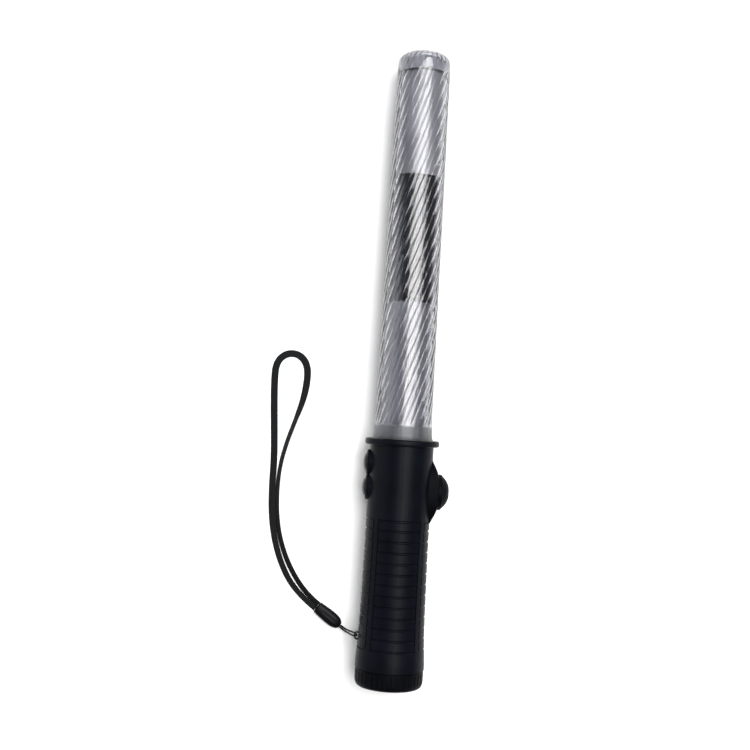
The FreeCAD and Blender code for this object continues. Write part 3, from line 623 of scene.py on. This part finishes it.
def lamp_material():
    """Lamp body: speckled yellow phosphor."""
    look = Nodes("lamp_phosphor")
    speckle = look.noise(scale=900.0, detail=2.0)
    tint = look.ramp(speckle, [(0.35, (0.72, 0.60, 0.22)), (0.65, (0.88, 0.84, 0.62))])
    look.join(tint, "Base Color")
    look.join(look.between(speckle, 0.2, 0.4), "Roughness")
    return look.material


def slot_materials():
    """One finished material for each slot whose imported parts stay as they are."""
    black = (0.0023, 0.0029, 0.0052)
    return {
        "diffuser_milky": translucent_sleeve(
            "milky_sleeve", (0.30, 0.305, 0.335), (0.47, 0.47, 0.51), transmission=0.10, roughness=0.5),
        "diffuser_frosted": translucent_sleeve(
            "frosted_sleeve", (0.56, 0.56, 0.59), (0.90, 0.90, 0.94), transmission=0.30, roughness=0.4),
        "band_dark": moulded("dark_band", (0.005, 0.006, 0.013), 0.45, Specular_IOR_Level=0.1),
        "holder_clear": moulded("clear_holder", (0.22, 0.22, 0.24), 0.3, Transmission_Weight=0.4),
        "holder_grey": moulded("grey_holder", (0.13, 0.13, 0.145), 0.45),
        "board_white": board("white_board", (0.62, 0.63, 0.64), (0.5, 0.5, 0.48)),
        "lamp": lamp_material(),
        "seal_rubber": moulded("seal_rubber", (0.012, 0.012, 0.012), 0.55),
        "handle_plastic": moulded(
            "handle_plastic", black, 0.36, relief=0.12, Specular_IOR_Level=0.045),
        "screw_steel": metal("zinc_steel", (0.55, 0.55, 0.56), 0.3),
        "cover_rubber": moulded(
            "cover_rubber", shade(black, 0.45), 0.5, relief=0.2, Specular_IOR_Level=0.03),
        "magnet_ferrite": moulded("ferrite", (0.06, 0.06, 0.065), 0.55, grain=1800.0, relief=0.3),
        "board_green": board("green_board", (0.03, 0.2, 0.09), (0.10, 0.32, 0.12)),
        "component_black": moulded("component_black", (0.02, 0.02, 0.02), 0.4),
        "wire_insulation": moulded("wire_insulation", (0.5, 0.04, 0.03), 0.35),
        "inner_plastic": moulded("inner_plastic", (0.03, 0.03, 0.035), 0.5),
        "cell_jacket": metal("cell_jacket", (0.62, 0.62, 0.64), 0.3, (900, 30, 900)),
        "contact_brass": metal("brass", (0.72, 0.5, 0.2), 0.3),
        "spring_steel": metal("spring_wire", (0.62, 0.62, 0.63), 0.25, (900, 900, 900)),
        "contact_plate": metal("contact_plate", (0.66, 0.66, 0.66), 0.28),
        "cap_plastic": moulded(
            "cap_plastic", shade(black, 0.55), 0.46, relief=0.12, Specular_IOR_Level=0.04),
        "eyelet_steel": metal("eyelet_wire", (0.03, 0.03, 0.032), 0.45, (900, 900, 900)),
        "button_rubber": moulded(
            "button_rubber", shade(black, 0.4), 0.22, relief=0.03, Specular_IOR_Level=0.2),
        "plunger_plastic": moulded("plunger_plastic", (0.6, 0.59, 0.55), 0.35),
    }


def welding_group(angle):
    """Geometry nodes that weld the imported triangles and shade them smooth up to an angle."""
    group = bpy.data.node_groups.new("weld_and_smooth", "GeometryNodeTree")
    for way in ("INPUT", "OUTPUT"):
        group.interface.new_socket("Geometry", in_out=way, socket_type="NodeSocketGeometry")

    def add(kind, **values):
        node = group.nodes.new(kind)
        for name, value in values.items():
            node.inputs[name.replace("_", " ")].default_value = value
        return node

    entry = add("NodeGroupInput")
    plain = add("GeometryNodeRemoveAttribute", Name="custom_normal")
    weld = add("GeometryNodeMergeByDistance", Distance=1e-6)
    smooth_faces = add("GeometryNodeSetShadeSmooth")
    sharp_edges = add("GeometryNodeSetShadeSmooth", Shade_Smooth=False)
    sharp_edges.domain = "EDGE"
    result = add("NodeGroupOutput")
    steps = [entry, plain, weld, smooth_faces, sharp_edges, result]
    for before, after in zip(steps, steps[1:]):
        group.links.new(before.outputs["Geometry"], after.inputs["Geometry"])
    edge_angle = add("GeometryNodeInputMeshEdgeAngle")
    over = add("FunctionNodeCompare", B=angle)
    over.operation = "GREATER_THAN"
    group.links.new(edge_angle.outputs["Unsigned Angle"], over.inputs["A"])
    group.links.new(over.outputs["Result"], sharp_edges.inputs["Selection"])
    return group


def finish_cad_nodes(materials):
    """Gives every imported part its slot's material, and softens the moulded edges."""
    group = welding_group(SOFT_EDGE_ANGLE)
    for row in frame["record"]["subparts"]:
        if row["material_slot"] not in materials:
            continue
        item = nodes[row["node"]]
        item.data.materials.clear()
        item.data.materials.append(materials[row["material_slot"]])
        if row["node"] in SOFT_EDGES:
            item.modifiers.new("weld_and_smooth", "NODES").node_group = group
            bevel = item.modifiers.new("soft_edges", "BEVEL")
            bevel.width = SOFT_EDGES[row["node"]] * MM
            bevel.segments = 2
            bevel.limit_method = "ANGLE"
            bevel.angle_limit = SOFT_EDGE_ANGLE
            bevel.use_clamp_overlap = True
            bevel.harden_normals = True


# ---- stage ----

def add_area_light(name, place, aim, size, power, colour):
    """Rectangular panel of light that faces its aim."""
    data = bpy.data.lights.new(name, "AREA")
    data.shape = "RECTANGLE"
    data.size, data.size_y = size
    data.energy = power
    data.color = colour
    item = make_object(name, data)
    item.location = Vector(place)
    item.rotation_euler = (Vector(aim) - item.location).to_track_quat("-Z", "Y").to_euler()


def add_lights():
    """Window-like key overhead, a low panel on the buttons' side and one beyond the tip."""
    for name, tilt_x, tilt_y, distance, size, power, colour in LIGHTS:
        lean_x = math.tan(math.radians(tilt_x))
        lean_y = math.tan(math.radians(tilt_y))
        way = Vector((lean_x, lean_y, 1)).normalized()
        add_area_light(name, LIGHTS_AIM + way * distance, LIGHTS_AIM, size, power, colour)
    world = bpy.data.worlds.new("studio")
    world.use_nodes = True
    background = world.node_tree.nodes["Background"]
    background.inputs["Color"].default_value = ROOM_COLOUR
    background.inputs["Strength"].default_value = ROOM_STRENGTH
    scene.world = world


def add_floor():
    """Pale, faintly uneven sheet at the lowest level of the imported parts."""
    signs = [(-1, -1), (1, -1), (1, 1), (-1, 1)]
    mesh = bpy.data.meshes.new("floor")
    mesh.from_pydata([(FLOOR_REACH * x, FLOOR_REACH * y, FLOOR) for x, y in signs], [],
                     [(0, 1, 2, 3)])
    floor = make_object("floor", mesh)
    look = Nodes("pale_floor")
    look.join(look.ramp(look.noise(scale=6.0), FLOOR_TINTS), "Base Color")
    look.set(Roughness=0.9, Specular_IOR_Level=0.1)
    mesh.materials.append(look.material)


def add_camera():
    """Camera at its place, aimed, and then rolled about its line of sight."""
    ahead = (CAMERA_AIM - CAMERA_PLACE).normalized()
    level_right = ahead.cross(Vector((0, 1, 0))).normalized()
    level_up = level_right.cross(ahead)
    right = level_right * math.cos(CAMERA_ROLL) + level_up * math.sin(CAMERA_ROLL)
    up = level_up * math.cos(CAMERA_ROLL) - level_right * math.sin(CAMERA_ROLL)
    data = bpy.data.cameras.new("camera")
    data.lens = CAMERA_LENS
    data.sensor_width = CAMERA_SENSOR_WIDTH
    data.clip_start = 0.01
    item = make_object("camera", data)
    turn = Matrix((right, up, -ahead)).transposed()
    item.matrix_world = Matrix.Translation(CAMERA_PLACE) @ turn.to_4x4()
    scene.camera = item


# ---- putting it together ----

def on_handle(item, material, slot, *stands_for):
    """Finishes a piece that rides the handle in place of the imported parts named."""
    item.data.materials.append(material)
    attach(item, "handle")
    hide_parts(*stands_for)


def add_strap():
    """Wrist strap: woven tape, its sleeve and the string through the eyelet."""
    tape, tape_line = make_tape()
    string, string_line = make_string()
    sleeve = make_sleeve()
    webbing = woven("strap_webbing", (0.0055, 0.006, 0.007), 2200.0)
    on_handle(tape, webbing, "strap_webbing", "strap_tape")
    braid = woven("strap_string", (0.003, 0.003, 0.0035), 5000.0)
    on_handle(string, braid, "strap_cord", "strap_string")
    pod = moulded("sleeve_plastic", (0.003, 0.003, 0.004), 0.36, relief=0.15,
                  Specular_IOR_Level=0.07)
    on_handle(sleeve, pod, "sleeve_plastic", "strap_sleeve")


scene.view_settings.view_transform = "Standard"
add_camera()
add_strap()
on_handle(make_wand(), clear_plastic(), "wand_clear", "lens_tube")
finish_cad_nodes(slot_materials())
add_lights()
add_floor()
